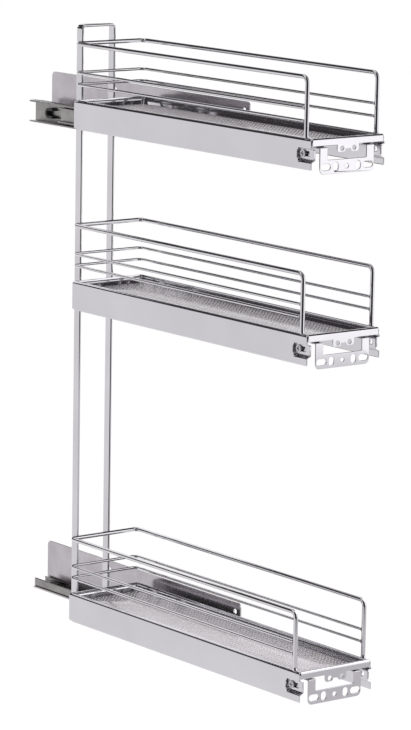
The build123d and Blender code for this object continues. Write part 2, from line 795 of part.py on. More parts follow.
def make_door_bracket(rim):
    """Plate that the cabinet door is screwed to, on two feet under the tray's floor."""
    top = rim - door_foot_top
    bottom = rim - door_plate_bottom
    window_bottom = rim - door_window_bottom
    with BuildPart() as bracket:
        with BuildSketch(Plane.XZ.offset(-(door_front + door_plate_sheet))) as face:
            with Locations((tray_middle, (top + bottom) / 2)):
                Rectangle(door_plate_width, top - bottom)
            with Locations((tray_middle, (top + window_bottom) / 2)):
                Rectangle(door_window_width, top - window_bottom, mode=Mode.SUBTRACT)
            outer_corners = [
                (tray_middle + side * door_plate_width / 2, bottom) for side in (-1, 1)
            ]
            window_corners = [
                (tray_middle + side * door_window_width / 2, window_bottom)
                for side in (-1, 1)
            ]
            bend_sheet(face, outer_corners, door_plate_radius)
            bend_sheet(face, window_corners, door_window_radius)
            with Locations((tray_middle, rim - door_hole_drop)):
                with GridLocations(door_slot_spacing, 0, 2, 1):
                    SlotOverall(door_slot_length, door_slot_width, mode=Mode.SUBTRACT)
                with GridLocations(door_oval_spacing, 0, 2, 1):
                    SlotOverall(
                        door_oval_length, door_slot_width, rotation=90, mode=Mode.SUBTRACT
                    )
                Circle(door_pilot_radius, mode=Mode.SUBTRACT)
        extrude(amount=door_plate_sheet)
        arm_width = (door_plate_width - door_window_width) / 2
        foot_rear = door_rivet_y + door_foot_length / 2
        with BuildSketch(Plane.XY.offset(top)):
            with Locations((tray_middle, (door_front + foot_rear) / 2)):
                with GridLocations(2 * foot_offset, 0, 2, 1):
                    Rectangle(arm_width, foot_rear - door_front)
        extrude(amount=-door_plate_sheet)
        bends = bracket.edges().filter_by(Axis.X).group_by(Axis.Z)[-1].group_by(Axis.Y)[0]
        fillet(bends, door_plate_sheet * 0.8)
        with BuildSketch(Plane.XY.offset(top)):
            with Locations((tray_middle, door_rivet_y)):
                with GridLocations(2 * foot_offset, 0, 2, 1):
                    Circle(rivet_radius + fit_gap)
        extrude(amount=-door_plate_sheet, mode=Mode.SUBTRACT)
    return bracket


def make_guard_rail(rim):
    """Top rail of round wire: two posts on the rim and one loop round sides and back."""
    near = tray_near + wire_side_inset
    far = tray_far - wire_side_inset
    front = tray_front + post_setback
    rear = frame_front - guard_radius - weld_gap
    top = rim + guard_rise
    with BuildPart() as guard:
        with BuildLine() as route:
            FilletPolyline(
                (near, front, rim), (near, front, top), (near, rear, top),
                (far, rear, top), (far, front, top), (far, front, rim),
                radius=guard_bend,
            )
        with BuildSketch(Plane(origin=route.line @ 0, z_dir=route.line % 0)):
            Circle(guard_radius)
        sweep()
    return guard


def make_side_wire(rim, rise):
    """Thin wire round sides and back, welded to the posts and to the upright frame."""
    near = tray_near + wire_side_inset
    far = tray_far - wire_side_inset
    front = tray_front + post_setback + guard_radius + weld_gap
    rear = frame_front - wire_radius - weld_gap
    height = rim + rise
    with BuildPart() as wire:
        with BuildLine() as route:
            FilletPolyline(
                (near, front, height), (near, rear, height),
                (far, rear, height), (far, front, height),
                radius=wire_bend,
            )
        with BuildSketch(Plane(origin=route.line @ 0, z_dir=route.line % 0)):
            Circle(wire_radius)
        sweep()
    return wire


def make_hanger(rim):
    """Channel between the legs of the frame, riveted to the tray's rear wall."""
    half = frame_outer_width / 2 - frame_bar_sheet - fit_gap
    top = rim - hanger_top_below_rim
    with BuildPart() as hanger:
        with BuildSketch(Plane.XY.offset(top - hanger_height)) as outline:
            with Locations((frame_middle_x, (tray_rear + frame_front + frame_bar_width) / 2)):
                Rectangle(2 * half, hanger_sheet + frame_bar_width)
            with Locations((frame_middle_x, frame_front + frame_bar_width / 2)):
                Rectangle(2 * (half - hanger_sheet), frame_bar_width, mode=Mode.SUBTRACT)
        extrude(amount=hanger_height)
        with BuildSketch(Plane.XZ.offset(-frame_front)):
            with Locations((frame_middle_x, top - hanger_height / 2)):
                with GridLocations(2 * hanger_rivet_offset, 0, 2, 1):
                    Circle(rivet_radius + fit_gap)
        extrude(amount=hanger_sheet, mode=Mode.SUBTRACT)
        with BuildSketch(Plane.YZ.offset(frame_near)):
            with Locations(*[(frame_middle_y, rim - drop) for drop in hanger_screw_drops]):
                Circle(hanger_screw_radius + fit_gap)
        extrude(amount=frame_outer_width, mode=Mode.SUBTRACT)
    return hanger


def make_clamp_tongues(rim):
    """Two flat slotted tongues that lie in the skirts' pockets, one for each skirt."""
    top = rim - pocket_top - tongue_clearance
    bottom = rim - pocket_bottom + pocket_slope + tongue_clearance
    front = tray_front - tongue_reach
    rear = tray_front + pocket_length - tongue_clearance
    with BuildPart() as tongues:
        with BuildSketch(Plane.YZ.offset(tray_near + pocket_depth)) as outline:
            with Locations(((front + rear) / 2, (top + bottom) / 2)):
                Rectangle(rear - front, top - bottom)
            bend_sheet(outline, [(front, top), (front, bottom)], tongue_round)
            bend_sheet(outline, [(rear, top), (rear, bottom)], pocket_radius)
        extrude(amount=-tongue_sheet)
        with BuildSketch(Plane.YZ.offset(tray_near + pocket_depth)):
            clamp_slot(rim)
        extrude(amount=-tongue_sheet, mode=Mode.SUBTRACT)
        mirror(about=Plane.YZ.offset(tray_middle))
    return tongues


for level, rim in rims.items():
    save(make_tray_shell(level), f"{level}_tray_shell")
    save(make_mat(rim), f"{level}_tray_mat")
    save(make_front_rail(rim), f"{level}_front_rail")
    save(make_door_bracket(rim), f"{level}_door_bracket")
    save(make_guard_rail(rim), f"{level}_guard_rail")
    for band, rise in wire_rises.items():
        save(make_side_wire(rim, rise), f"{level}_{band}_wire")
    save(make_hanger(rim), f"{level}_tray_hanger")
    save(make_clamp_tongues(rim), f"{level}_clamp_tongues")

# Screws that lock the tongues in their pockets
with BuildPart() as clamp_screws:
    for rim in rims.values():
        centre = (tray_front + clamp_screw_setback, rim - clamp_screw_drop)
        seat = tray_near + pocket_depth - tongue_sheet
        head_face = seat - clamp_head_height
        with BuildSketch(Plane.YZ.offset(head_face)):
            with Locations(centre):
                Circle(clamp_head_radius)
        extrude(amount=clamp_head_height)
        with BuildSketch(Plane.YZ.offset(seat)):
            with Locations(centre):
                Circle(clamp_shank_radius)
        extrude(amount=tongue_sheet + tray_sheet + clamp_screw_tail)
        with BuildSketch(Plane.YZ.offset(head_face)):
            with Locations(centre):
                Rectangle(clamp_head_radius * 1.2, recess_width)
                Rectangle(recess_width, clamp_head_radius * 1.2)
        extrude(amount=clamp_head_height * 0.6, mode=Mode.SUBTRACT)
    mirror(about=Plane.YZ.offset(tray_middle))
save(clamp_screws, "clamp_screws")

# Rivets of the channels and of the door brackets
with BuildPart() as hanger_rivets:
    for rim in rims.values():
        height = rim - hanger_top_below_rim - hanger_height / 2
        for side in (-1, 1):
            lengthwise = Plane(
                origin=(frame_middle_x + side * hanger_rivet_offset, tray_rear, height),
                x_dir=(1, 0, 0), z_dir=(0, 0, 1),
            )
            add_rivet(
                lengthwise, -tray_sheet, hanger_sheet, rivet_head_height, rivet_head_height
            )
save(hanger_rivets, "hanger_rivets")

with BuildPart() as door_bracket_rivets:
    for rim in rims.values():
        for side in (-1, 1):
            upright = Plane(
                origin=(tray_middle + side * foot_offset, door_rivet_y, rim - door_foot_top),
                x_dir=(1, 0, 0), z_dir=(0, -1, 0),
            )
            add_rivet(upright, -door_plate_sheet, tray_sheet, rivet_head_height, 0)
save(door_bracket_rivets, "door_bracket_rivets")
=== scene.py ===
# Pull-out organizer for a narrow base cabinet: the finish of every sheet, wire, slide and
# mat, a pale studio round it, and the camera. Sizes are in millimetres unless they say metres.

import bmesh
import bpy
import numpy as np
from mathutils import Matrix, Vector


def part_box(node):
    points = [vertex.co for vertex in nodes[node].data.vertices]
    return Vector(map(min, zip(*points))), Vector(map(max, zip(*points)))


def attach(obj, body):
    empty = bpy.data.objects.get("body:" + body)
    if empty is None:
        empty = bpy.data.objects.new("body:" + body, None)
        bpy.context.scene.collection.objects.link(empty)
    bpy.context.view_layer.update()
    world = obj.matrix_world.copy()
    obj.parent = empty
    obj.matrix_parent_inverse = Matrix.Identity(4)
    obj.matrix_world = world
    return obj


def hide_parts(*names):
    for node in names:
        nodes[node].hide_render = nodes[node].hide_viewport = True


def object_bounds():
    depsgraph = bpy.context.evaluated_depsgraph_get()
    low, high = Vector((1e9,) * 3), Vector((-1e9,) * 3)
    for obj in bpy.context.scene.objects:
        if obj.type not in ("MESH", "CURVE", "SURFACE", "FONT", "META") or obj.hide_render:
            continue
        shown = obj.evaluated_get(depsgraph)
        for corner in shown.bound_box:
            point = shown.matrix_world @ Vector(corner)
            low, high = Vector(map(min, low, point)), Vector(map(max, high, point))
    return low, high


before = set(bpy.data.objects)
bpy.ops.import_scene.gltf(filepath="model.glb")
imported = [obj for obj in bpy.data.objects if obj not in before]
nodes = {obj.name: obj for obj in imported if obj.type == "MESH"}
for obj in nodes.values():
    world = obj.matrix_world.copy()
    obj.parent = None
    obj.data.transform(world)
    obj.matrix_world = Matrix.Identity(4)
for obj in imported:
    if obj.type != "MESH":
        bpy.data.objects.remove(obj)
cad_box = [list(corner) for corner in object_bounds()]


# Wall brackets
# Two folded plates of 2 mm steel, screwed to the cabinet's side wall. They are zinc
# plated after folding, which leaves a cool grey metal with soft clouds in its gloss.
def linear(code):
    """Linear colour of an sRGB hex code, whose curve is a straight line below 0.04045."""
    channels = np.array([int(code[i:i + 2], 16) for i in (1, 3, 5)]) / 255
    low = channels / 12.92
    high = ((channels + 0.055) / 1.055) ** 2.4
    return (*np.where(channels <= 0.04045, low, high).tolist(), 1.0)


def add(tree, kind, sockets=None, **settings):
    """Adds one node with its settings, and gives each named socket a value or a link."""
    node = tree.nodes.new(kind)
    for name, value in settings.items():
        setattr(node, name, value)
    for socket, value in (sockets or {}).items():
        if isinstance(value, bpy.types.NodeSocket):
            tree.links.new(value, node.inputs[socket])
        else:
            node.inputs[socket].default_value = value
    return node


def empty_tree(owner):
    """The node tree of a material or a world, with nothing in it."""
    owner.use_nodes = True
    owner.node_tree.nodes.clear()
    return owner.node_tree


def plated_steel(name, pale, dark, cloud, gloss, grain, stretch, wave, metal=1.0):
    """Metal whose colour runs between two tones in clouds of the given size, with a fine grain.

    cloud, grain and the wave's size are in millimetres, gloss is the lowest and highest
    roughness, stretch draws the grain out along Y, and wave is (size, height) of a slow swell.
    metal is under 1 where a passivated film scatters some of the light.
    """
    scratch_height = 0.02
    material = bpy.data.materials.new(name)
    tree = empty_tree(material)
    place = add(tree, "ShaderNodeTexCoord").outputs["Object"]
    clouds = add(tree, "ShaderNodeTexNoise", {
        "Vector": place, "Scale": 1000 / cloud, "Detail": 3.0, "Roughness": 0.55,
    })
    tone = add(tree, "ShaderNodeValToRGB", {"Fac": clouds.outputs["Fac"]})
    dark_stop, pale_stop = tone.color_ramp.elements
    dark_stop.position, dark_stop.color = 0.35, linear(dark)
    pale_stop.position, pale_stop.color = 0.65, linear(pale)
    drawn = add(tree, "ShaderNodeMapping", {"Vector": place, "Scale": (1.0, 1 / stretch, 1.0)})
    fine = add(tree, "ShaderNodeTexNoise", {
        "Vector": drawn.outputs["Vector"], "Scale": 1000 / grain, "Detail": 2.0,
    })
    swell = add(tree, "ShaderNodeTexNoise", {
        "Vector": place, "Scale": 1000 / wave[0], "Detail": 1.0,
    })
    matt = add(tree, "ShaderNodeMapRange", {
        "Value": fine.outputs["Fac"], "From Min": 0.3, "From Max": 0.7,
        "To Min": gloss[0], "To Max": gloss[1],
    })
    swollen = add(tree, "ShaderNodeBump", {
        "Height": swell.outputs["Fac"], "Strength": 1.0, "Distance": wave[1] * 0.001,
    })
    scratched = add(tree, "ShaderNodeBump", {
        "Height": fine.outputs["Fac"], "Strength": 0.5, "Distance": scratch_height * 0.001,
        "Normal": swollen.outputs["Normal"],
    })
    surface = add(tree, "ShaderNodeBsdfPrincipled", {
        "Base Color": tone.outputs["Color"], "Roughness": matt.outputs["Result"],
        "Metallic": metal, "Normal": scratched.outputs["Normal"],
    })
    add(tree, "ShaderNodeOutputMaterial", {"Surface": surface.outputs["BSDF"]})
    return material


# Points at the same place merge, and faces that are nearly flat to each other. Edges that
# are sharper than a fold get a rounding, and shading breaks at what is left sharp.
same_place = 0.001
flat_angle, fold_angle, crease_angle = np.radians([0.5, 35, 30])


def soften(name, node, material, body, width, reshape=None, broad=None):
    """A copy of a CAD node, its triangles merged into flat faces and its edges rounded.

    width is the rounding's radius, and reshape moves the copy's points. broad is the radius of
    a wider rounding, and a test that says which points its edges join.
    """
    form = bmesh.new()
    form.from_mesh(nodes[node].data)
    bmesh.ops.remove_doubles(form, verts=form.verts, dist=same_place * 0.001)
    bmesh.ops.dissolve_limit(
        form, angle_limit=flat_angle, verts=form.verts, edges=form.edges,
    )
    widest, chosen = broad or (width, None)
    weight = form.edges.layers.float.new("bevel_weight_edge")
    for edge in form.edges:
        if edge.calc_face_angle(0) > fold_angle:
            wide = chosen and all(chosen(*(corner.co * 1000)) for corner in edge.verts)
            edge[weight] = 1.0 if wide else width / widest
    mesh = bpy.data.meshes.new(name)
    form.to_mesh(mesh)
    form.free()
    if reshape:
        places = np.empty(len(mesh.vertices) * 3)
        mesh.vertices.foreach_get("co", places)
        places = reshape(places.reshape(-1, 3) * 1000) * 0.001
        mesh.vertices.foreach_set("co", places.ravel())
    mesh.polygons.foreach_set("use_smooth", np.ones(len(mesh.polygons), bool))
    mesh.set_sharp_from_angle(angle=crease_angle)
    mesh.materials.clear()
    mesh.materials.append(material)
    piece = bpy.data.objects.new(name, mesh)
    bpy.context.scene.collection.objects.link(piece)
    bevel = piece.modifiers.new("soft_edges", "BEVEL")
    bevel.width = widest * 0.001
    bevel.segments = 6 if broad else 2
    bevel.limit_method = "WEIGHT"
    bevel.use_clamp_overlap = False
    bevel.harden_normals = True
    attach(piece, body)
    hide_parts(node)


zinc_plate = plated_steel(
    "zinc_plated_steel", "#bdb8bd", "#b1acb1", cloud=30, gloss=(0.16, 0.24), grain=0.6,
    stretch=6, wave=(60, 0.10), metal=0.88,
)
plate_edge = 0.3
for end in ("upper", "lower"):
    soften(
        f"{end}_folded_plate", f"{end}_wall_bracket", zinc_plate, "root",
        plate_edge,
    )

# Ball slides
# Three folded rails of bright rolled steel run in each other on caged balls. The rolling
# and drawing leave fine lines along the rails. The balls are polished, and the stop at the
# closed end is a black moulded plastic clip.
def dress(names, material):
    """Gives CAD nodes a material."""
    for name in names:
        nodes[name].data.materials.clear()
        nodes[name].data.materials.append(material)


rail_steel = plated_steel(
    "bright_rolled_steel", "#9b9898", "#858182", cloud=25, gloss=(0.24, 0.34), grain=0.5,
    stretch=40, wave=(40, 0.05),
)
cage_steel = plated_steel(
    "stamped_cage_steel", "#8f8d8c", "#7d7b7a", cloud=15, gloss=(0.3, 0.4), grain=0.5,
    stretch=8, wave=(20, 0.02),
)
ball_steel = plated_steel(
    "polished_ball_steel", "#c9c9c9", "#c0c0c1", cloud=5, gloss=(0.05, 0.08), grain=0.4,
    stretch=1, wave=(5, 0.005),
)
rail_edge = 0.2
for end in ("upper", "lower"):
    for rail, body in (("cabinet", "root"), ("middle", f"{end}_middle"), ("drawer", "carriage")):
        soften(
            f"{end}_rolled_{rail}_rail", f"{end}_{rail}_rail", rail_steel, body,
            rail_edge,
        )
    dress([f"{end}_{cage}_ball_cage" for cage in ("outer", "inner")], cage_steel)
    dress([f"{end}_{cage}_balls" for cage in ("outer", "inner")], ball_steel)
    dress([f"{end}_slide_rivets", f"{end}_carriage_rivets"], ball_steel)
    soften(
        f"{end}_folded_angle", f"{end}_carriage_angle", zinc_plate, "carriage",
        plate_edge,
    )

spark_size, spark_height = 0.5, 0.04
black_plastic = bpy.data.materials.new("black_moulded_plastic")
tree = empty_tree(black_plastic)
place = add(tree, "ShaderNodeTexCoord").outputs["Object"]
spark = add(tree, "ShaderNodeTexNoise", {"Vector": place, "Scale": 1000 / spark_size})
spark_bump = add(tree, "ShaderNodeBump", {
    "Height": spark.outputs["Fac"], "Strength": 0.4, "Distance": spark_height * 0.001,
})
surface = add(tree, "ShaderNodeBsdfPrincipled", {
    "Base Color": linear("#1d1c1d"), "Roughness": 0.45, "Normal": spark_bump.outputs["Normal"],
})
add(tree, "ShaderNodeOutputMaterial", {"Surface": surface.outputs["BSDF"]})
dress(["upper_rear_buffer", "lower_rear_buffer"], black_plastic)

# Upright frame
# One loop of 12 x 3 mm flat bar with rolled edges, bent round a small radius at its four
# corners and chromium plated. The plating is a bright mirror, a little swollen by the bar.
chrome_bar = plated_steel(
    "chromed_flat_bar", "#cfcdd1", "#c8c6ca", cloud=80, gloss=(0.04, 0.06), grain=0.8,
    stretch=3, wave=(50, 0.05),
)


def box_mm(node):
    """Lowest and highest corner of a CAD node at rest, in millimetres."""
    return [np.array(corner) * 1000 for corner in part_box(node)]


def rounded_outline(width, height, radius, per_corner):
    """Points round a rectangle with quarter circles at its corners, against the clock.

    The second result is each point's angle on its circle.
    """
    quarter = np.linspace(0, np.pi / 2, per_corner)
    turn = np.concatenate([quarter + side * np.pi / 2 for side in range(4)])
    across = np.repeat([1, -1, -1, 1], per_corner) * (width / 2 - radius)
    upward = np.repeat([1, 1, -1, -1], per_corner) * (height / 2 - radius)
    return np.stack([across + radius * np.cos(turn), upward + radius * np.sin(turn)], 1), turn


def grid_quads(rows, columns, closed):
    """Corners of the quads between grid points, as (rows - 1, columns or one less, 4)."""
    row = np.arange(rows - 1)[:, None]
    column = np.arange(columns if closed else columns - 1)[None, :]
    beside = (column + 1) % columns
    return np.stack(
        [row * columns + column, row * columns + beside,
         (row + 1) * columns + beside, (row + 1) * columns + column], -1
    )


def make_piece(name, surfaces, material, body, stands_for, sharp=50):
    """One mesh object from surfaces, each of them (points, corners of its faces).

    sharp is the angle in degrees from which an edge is shaded as one.
    """
    points = np.concatenate([place.reshape(-1, 3) for place, _ in surfaces]) * 0.001
    starts = np.cumsum([0] + [place.size // 3 for place, _ in surfaces[:-1]])
    faces = [
        (corners.reshape(-1, corners.shape[-1]) + start).tolist()
        for (_, corners), start in zip(surfaces, starts)
    ]
    mesh = bpy.data.meshes.new(name)
    mesh.from_pydata(points.tolist(), [], sum(faces, []))
    mesh.validate()
    piece = bpy.data.objects.new(name, mesh)
    bpy.context.scene.collection.objects.link(piece)
    mesh.polygons.foreach_set("use_smooth", np.ones(len(mesh.polygons), bool))
    mesh.set_sharp_from_angle(angle=np.radians(sharp))
    mesh.materials.append(material)
    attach(piece, body)
    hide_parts(stands_for)
    return piece


bar_width = 12.0
bar_sheet = 3.0
bar_edge = 1.4
frame_bend = 5.5
bend_points = 9
low, high = box_mm("rear_frame")
route, turn = rounded_outline(
    high[0] - low[0] - bar_sheet, high[2] - low[2] - bar_sheet, frame_bend - bar_sheet / 2,
    bend_points,
)
outward = np.stack([np.cos(turn), np.sin(turn)], 1)
bar_profile, _ = rounded_outline(bar_sheet, bar_width, bar_edge, bend_points)
centre = (low + high) / 2
bar_points = np.empty((len(route), len(bar_profile), 3))
for axis, column in ((0, 0), (2, 1)):
    bar_points[:, :, axis] = (
        centre[axis] + route[:, column, None] + outward[:, column, None] * bar_profile[None, :, 0]
    )
bar_points[:, :, 1] = centre[1] + bar_profile[None, :, 1]
bar_points = np.concatenate([bar_points, bar_points[:1]])
bar_faces = grid_quads(len(bar_points), len(bar_profile), True)
make_piece(
    "flat_bar_frame", [(bar_points, bar_faces)], chrome_bar, "carriage",
    "rear_frame",
)

# Screws and rivets
# Turned and cold headed steel, chromium or zinc plated in a barrel, so they are bright but
# a little dented all over.
chrome_screw = plated_steel(
    "chromed_screw_steel", "#bdbbbf", "#aeacb0", cloud=4, gloss=(0.12, 0.22), grain=0.5,
    stretch=1, wave=(3, 0.02),
)
dress(["hanger_rivets", "door_bracket_rivets"], chrome_screw)
for piece_name, node, edge in (
    ("frame_screws", "hanger_screws", 0.3), ("lock_screws", "clamp_screws", 0.35),
):
    soften(piece_name, node, chrome_screw, "carriage", edge)

# Tray sheets
# Each tray is one pressed sheet of 1 mm steel: skirts, a rim folded over into a bead, and a
# pan with a ledge, a step and a floor. It is chromium plated, which mirrors the room softly
# because a thin sheet is never quite flat.
chrome_sheet = plated_steel(
    "chromed_pressed_sheet", "#cccacf", "#c6c4c9", cloud=120, gloss=(0.06, 0.09), grain=0.8,
    stretch=2, wave=(90, 0.10),
)
levels = ("bottom", "middle", "top")
sheet = 1.0
bead_width = 3.8
bead_radius = 3.3
ledge_depth, step_depth, floor_depth = 2.5, 5.0, 9.5
step_inset, floor_inset = 5.6, 8.0
step_slant, floor_slant = 0.4, 1.7
step_lean, floor_lean = 10, 25
soft_bend = 1.1
tight_bend = 0.5
crisp_bend = 0.2
rear_corner = 2.0
front_corner = 2.0
pan_corner = 3.0
skirt_corner = 5.5
front_rail_sheet = 1.5
front_rail_height = 8.3
pocket_length, pocket_top, pocket_bottom = 25.0, 11.2, 26.4
pocket_depth, pocket_slope, pocket_round, pocket_wall = 5.0, 2.6, 3.0, 0.9
slot_front, slot_rear, slot_drop, slot_radius = 5.3, 20.3, 17.2, 2.8

# The slide that passes through the rear walls
bracket_sheet = 2.0
slide_clearance = 2.0
slide_low, slide_high = box_mm("upper_cabinet_rail")
notch_low = slide_low[0] - slide_clearance
notch_high = slide_high[0] + bracket_sheet + slide_clearance
notch_top_drop = box_mm("top_tray_shell")[1][2] - slide_high[2] - slide_clearance

# How the sheet is divided: finely round the pockets, and coarsely over the rest
pocket_step = 0.6
fine_past_pocket, coarse_past_pocket = 3.0, 8.0
fine_past_rows = 1.5
side_stations, end_stations, corner_stations = 52, 14, 5
pan_insets = (20.0, 35.0)
snap_reach = 0.7 * pocket_step
touch = 0.01


def arc(centre_inset, centre_height, radius, first, last, count):
    """Points of an arc in the sheet's section, from the first to the last angle in degrees."""
    angle = np.radians(np.linspace(first, last, count))
    return np.stack(
        [centre_inset + radius * np.cos(angle), centre_height + radius * np.sin(angle)], 1
    )


def pan_section():
    """Section of the pan from the outside of the bead to the floor, as (inset, height).

    Arcs stand for the bends, and the straight walls run from each arc's end to the next one.
    """
    return np.concatenate([
        arc(bead_radius, -bead_radius, bead_radius, 180, 90, 15),
        arc(bead_width - crisp_bend, -crisp_bend, crisp_bend, 90, 0, 3),
        arc(bead_width + tight_bend, tight_bend - ledge_depth, tight_bend, 180, 270, 4),
        arc(step_inset - step_slant - soft_bend, -ledge_depth - soft_bend, soft_bend, 90,
            step_lean, 5),
        arc(step_inset + tight_bend, tight_bend - step_depth, tight_bend, 180 + step_lean, 270, 4),
        arc(floor_inset - floor_slant - soft_bend, -step_depth - soft_bend, soft_bend, 90,
            floor_lean, 5),
        arc(floor_inset + tight_bend, tight_bend - floor_depth, tight_bend, 180 + floor_lean,
            270, 4),
    ])


def ring(low, high, inset, round_front, round_rear, stops):
    """Outline of the tray at an inset, from the near front corner to the rear and back.

    stops gives the fractions along the near side, the rear side, the far side and the front.
    """
    left, right = low[0] + inset, high[0] - inset
    front, rear = low[1] + inset, high[1] - inset
    legs = [
        ((left, front + round_front), (left, rear - round_rear), stops[0]),
        ((left + round_rear, rear), (right - round_rear, rear), stops[1]),
        ((right, rear - round_rear), (right, front + round_front), stops[2]),
        ((right - round_front, front), (left + round_front, front), stops[3]),
    ]
    return np.concatenate([
        np.outer(1 - stop, start) + np.outer(stop, end) for start, end, stop in legs
    ])


def corner_turns(outline, counts):
    """The outline with its four gaps between legs filled by quarter circles.

    A point of one lies along the leg's way by the sine of its angle, and aside from it by one
    less the cosine.
    """
    ends = np.cumsum(counts)
    starts = ends - counts
    parts = []
    for leg in range(4):
        here, there = outline[ends[leg] - 1], outline[starts[(leg + 1) % 4]]
        way = outline[ends[leg] - 1] - outline[starts[leg]]
        way = way / max(np.linalg.norm(way), 1e-9)
        angle = np.linspace(0, np.pi / 2, corner_stations + 2)[1:-1, None]
        along = way * ((there - here) @ way)
        aside = (there - here) - along
        parts += [outline[starts[leg]:ends[leg]],
                  here + along * np.sin(angle) + aside * (1 - np.cos(angle))]
    return np.concatenate(parts)


def recess(along, down):
    """Depth of the clamp pocket: full on its seat, fading over its wall and down its slope.

    The seat is a rounded rectangle, and outside is the distance from its outline.
    """
    seat_bottom = pocket_bottom - pocket_slope
    seat_middle = (pocket_top + seat_bottom) / 2
    past = np.stack([
        along - pocket_length + pocket_round,
        np.abs(down - seat_middle) - (seat_bottom - pocket_top) / 2 + pocket_round,
    ])
    outside = np.hypot(*np.maximum(past, 0)) + np.minimum(past.max(0), 0) - pocket_round
    seat = np.clip(-outside / pocket_wall, 0, 1)
    slope = np.minimum(
        (pocket_bottom - down) / pocket_slope,
        (pocket_length - pocket_round - along) / pocket_wall + 1,
    )
    slope = np.clip(slope, 0, 1) * (down > seat_middle)
    return pocket_depth * np.maximum(seat * seat * (3 - 2 * seat), slope)


def from_slot(along, down):
    """Distance from the slot's outline, and the way straight out of it: a capsule's formula."""
    spine = np.clip(along, slot_front + slot_radius, slot_rear - slot_radius)
    way = np.stack([along - spine, down - slot_drop], -1)
    reach = np.maximum(np.linalg.norm(way, axis=-1), 1e-9)
    return reach - slot_radius, way / reach[..., None]


def tray_sheet(level):
    """The pressed sheet: skirt rows, then the pan's section, carried round the tray's outline."""
    low, high = box_mm(f"{level}_tray_shell")
    length = high[1] - low[1]
    fine = np.arange(0, pocket_length + fine_past_pocket, pocket_step)
    coarse = np.linspace(pocket_length + coarse_past_pocket, length - rear_corner, side_stations)
    side = np.concatenate([fine, coarse]) / (length - rear_corner)
    wide = high[0] - low[0] - 2 * rear_corner
    end = np.linspace(0, 1, end_stations)
    notch_ends = [(edge - low[0] - rear_corner) / wide for edge in (notch_low, notch_high)]
    rear = np.unique(np.round(np.concatenate([end, notch_ends]), 5))
    stops = (side, rear, 1 - side[::-1], end)
    counts = [len(stop) for stop in stops]

    def outline(inset, round_front, round_rear):
        """One row of the sheet's points, at an inset."""
        return corner_turns(ring(low, high, inset, round_front, round_rear, stops), counts)

    # Skirt rows from the lower edge up to the bead, given by their drop below the rim
    skirt_height = high[2] - low[2]
    skirt_rows = np.concatenate([
        np.linspace(skirt_height, pocket_bottom + fine_past_rows, 5)[:-1],
        np.arange(pocket_bottom + fine_past_rows, pocket_top - fine_past_rows, -pocket_step),
        [front_rail_height + pocket_step],
        np.linspace(front_rail_height, bead_radius, 6)[:-1],
    ])
    beside_rail = skirt_rows < front_rail_height + touch
    edge = np.array([outline(0, front_corner * beside, rear_corner) for beside in beside_rail])

    # The skirt's lower edge rises round the rear corners, and its upper quarter stays level
    from_rear = np.clip(edge[..., 1] - (high[1] - skirt_corner), 0, skirt_corner)
    rise = skirt_corner - np.sqrt(skirt_corner ** 2 - from_rear ** 2)
    level_part = 0.25
    share = (skirt_rows - bead_radius) / (skirt_height - bead_radius)
    share = np.clip((share[:, None] - level_part) / (1 - level_part), 0, 1)
    skirt = np.empty((*edge.shape[:2], 3))
    skirt[..., :2] = edge
    skirt[..., 2] = (high[2] - skirt_rows)[:, None] + share * rise

    # Vertices near the slot's outline move onto it, and then all of them into the pocket
    on_side = (edge[..., 0] < low[0] + touch) | (edge[..., 0] > high[0] - touch)
    past, way = from_slot(skirt[..., 1] - low[1], high[2] - skirt[..., 2])
    near = on_side & (np.abs(past) < snap_reach)
    skirt[..., 1] -= near * past * way[..., 0]
    skirt[..., 2] += near * past * way[..., 1]
    inward = np.where(edge[..., 0] < (low[0] + high[0]) / 2, 1.0, -1.0) * on_side
    skirt[..., 0] += inward * recess(skirt[..., 1] - low[1], high[2] - skirt[..., 2])

    # Pan rows from the bead to the floor's middle line, where the outline closes to a line
    middle_inset = (high[0] - low[0]) / 2
    floor_line = [(inset, -floor_depth) for inset in (*pan_insets, middle_inset)]
    pan = []
    for inset, height in np.concatenate([pan_section(), floor_line]):
        turned_in = rear_corner + (pan_corner - rear_corner) * min(inset / bead_width, 1)
        turned_in *= inset < middle_inset
        row = outline(inset, turned_in, turned_in)
        pan.append(np.column_stack([row, np.full(len(row), high[2] + height)]))
    pan = np.array(pan)

    # The front leg of the rim lies behind the front rail
    first_front = sum(counts[:3]) + 3 * corner_stations
    last_front = first_front + counts[3] - 1
    front_leg = slice(first_front, last_front + 1)
    pan[:, front_leg, 1] = np.maximum(pan[:, front_leg, 1], low[1] + front_rail_sheet)
    points = np.concatenate([skirt, pan])
    faces = grid_quads(len(points), edge.shape[1], True)[..., ::-1]

    # No skirt across the front, none round the front corners below the front rail, and a
    # notch for the slide in the rear wall
    kept = np.ones(faces.shape[:2], bool)
    kept[:len(skirt_rows), first_front:last_front] = False
    kept[:np.argmax(beside_rail), first_front - corner_stations - 1:] = False
    column_x = edge[0, :, 0]
    in_notch = (column_x > notch_low - touch) & (np.roll(column_x, -1) < notch_high + touch)
    in_notch &= edge[0, :, 1] > high[1] - touch
    kept[:len(skirt_rows)][np.ix_(skirt_rows > notch_top_drop, in_notch)] = False

    # The slot goes right through on the far side
    hollow = np.zeros(points.shape[:2], bool)
    hollow[:len(skirt_rows)] = on_side & (near | (past < 0)) & (inward < 0)
    kept &= ~hollow.reshape(-1)[faces].all(-1)
    return points, faces[kept]


for level in levels:
    tray = make_piece(
        f"{level}_pressed_tray", [tray_sheet(level)], chrome_sheet, "carriage",
        f"{level}_tray_shell",
    )
    thick = tray.modifiers.new("sheet", "SOLIDIFY")
    thick.thickness = sheet * 0.001
    thick.offset = -1

